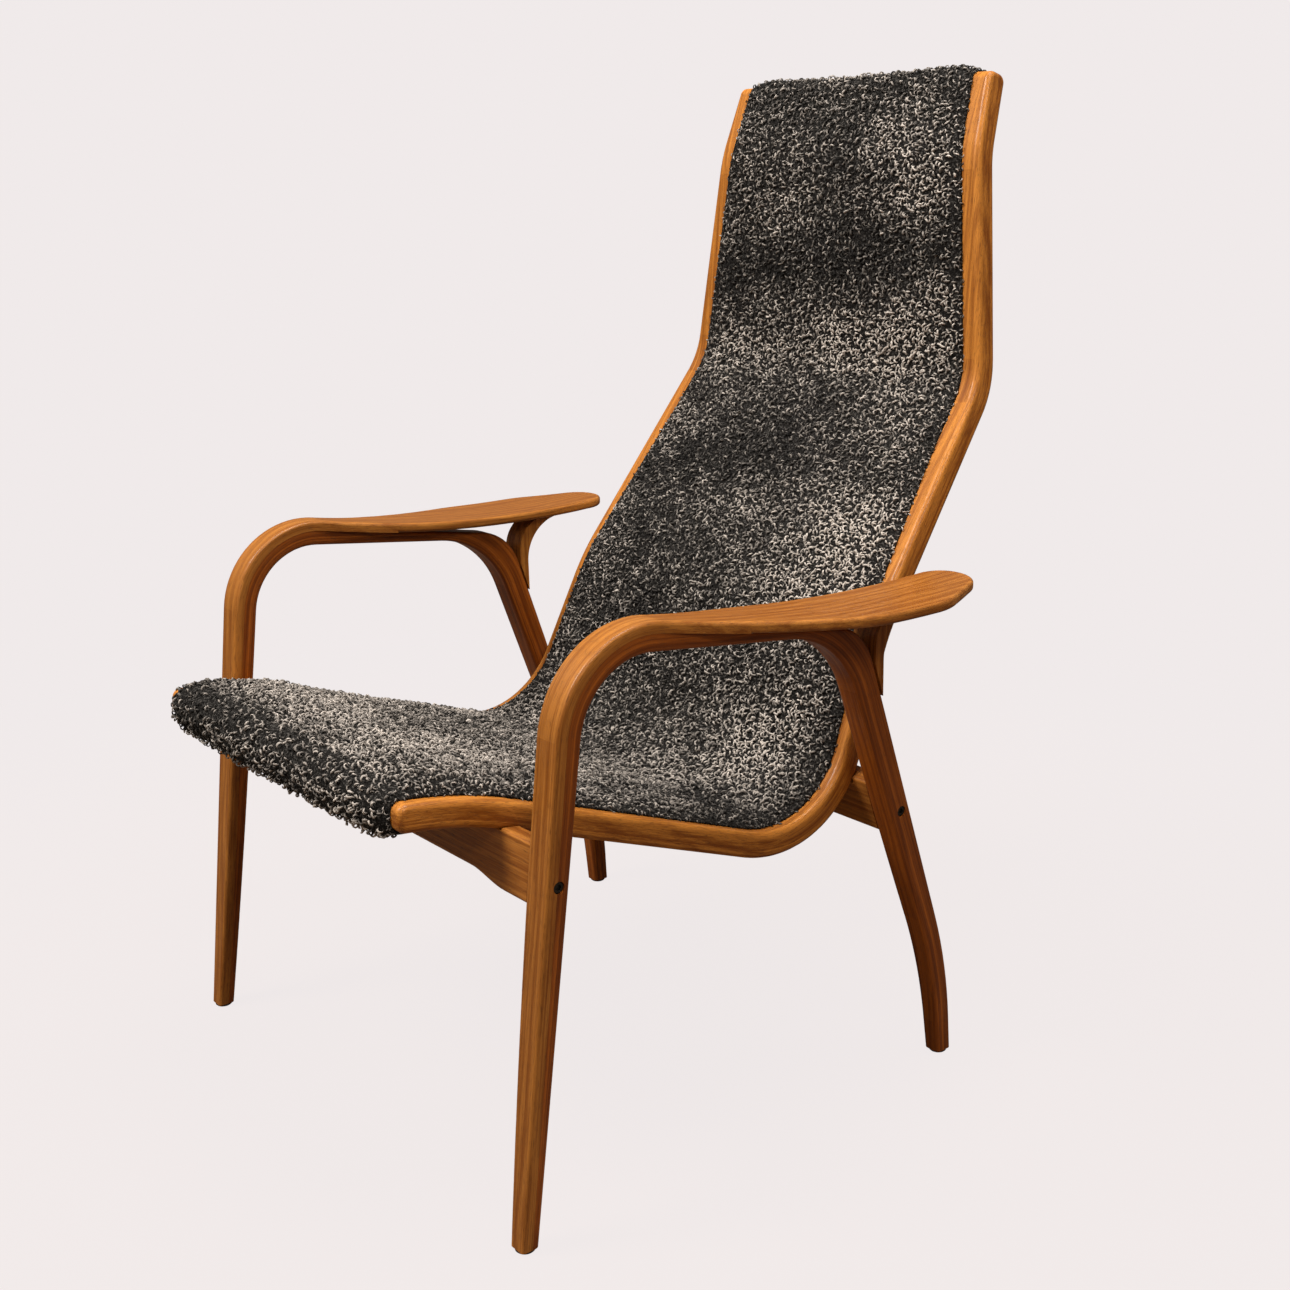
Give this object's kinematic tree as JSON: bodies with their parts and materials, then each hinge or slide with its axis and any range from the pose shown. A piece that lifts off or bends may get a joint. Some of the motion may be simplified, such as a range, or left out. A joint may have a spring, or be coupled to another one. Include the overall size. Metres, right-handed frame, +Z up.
{
  "type": "cantilever lounge chair",
  "caption": "High backed lounge chair with bent laminated arm frames, oar shaped armrests and an S-shaped seat and back frame dressed with curly dark grey sheepskin.",
  "frame": {"origin": "on the floor, in the middle of the chair's bounding box", "axes": "+Z up, +X to the sitter's left, -Y the way the sitter faces"},
  "size_m": [0.702, 0.7832, 0.9975],
  "materials": {
    "honey_laminate": "satin lacquered bent laminated wood",
    "inner_beech": "planed, unlacquered",
    "dark_steel": "dark oiled steel",
    "tack_steel": "blued steel",
    "glide_plastic": "matt black",
    "curly_wool": "curly dark grey sheepskin",
    "webbing": "woven elastic",
    "foam": "open cell foam",
    "back_canvas": "plain woven canvas"
  },
  "bodies": {
    "root": {"arm_frame_left": "honey_laminate", "arm_frame_right": "honey_laminate", "armrest_left": "honey_laminate", "armrest_right": "honey_laminate", "paddle_fork_left": "honey_laminate", "paddle_fork_right": "honey_laminate", "seat_rail_left": "honey_laminate", "seat_rail_right": "honey_laminate", "front_stretcher": "honey_laminate", "rear_stretcher": "honey_laminate", "front_crossbar": "inner_beech", "seat_crossbar": "inner_beech", "lumbar_crossbar": "inner_beech", "head_crossbar": "inner_beech", "crossbar_dowels": "inner_beech", "stretcher_dowels": "inner_beech", "stretcher_bolts": "dark_steel", "barrel_nuts": "dark_steel", "seat_screws": "dark_steel", "hide_tacks": "tack_steel", "webbing_tacks": "tack_steel", "foot_glides": "glide_plastic", "sheepskin_seat": "curly_wool", "sheepskin_back": "curly_wool", "webbing_seat": "webbing", "webbing_back": "webbing", "foam_pad_seat": "foam", "foam_pad_back": "foam", "back_cloth": "back_canvas"}
  },
  "joints": []
}
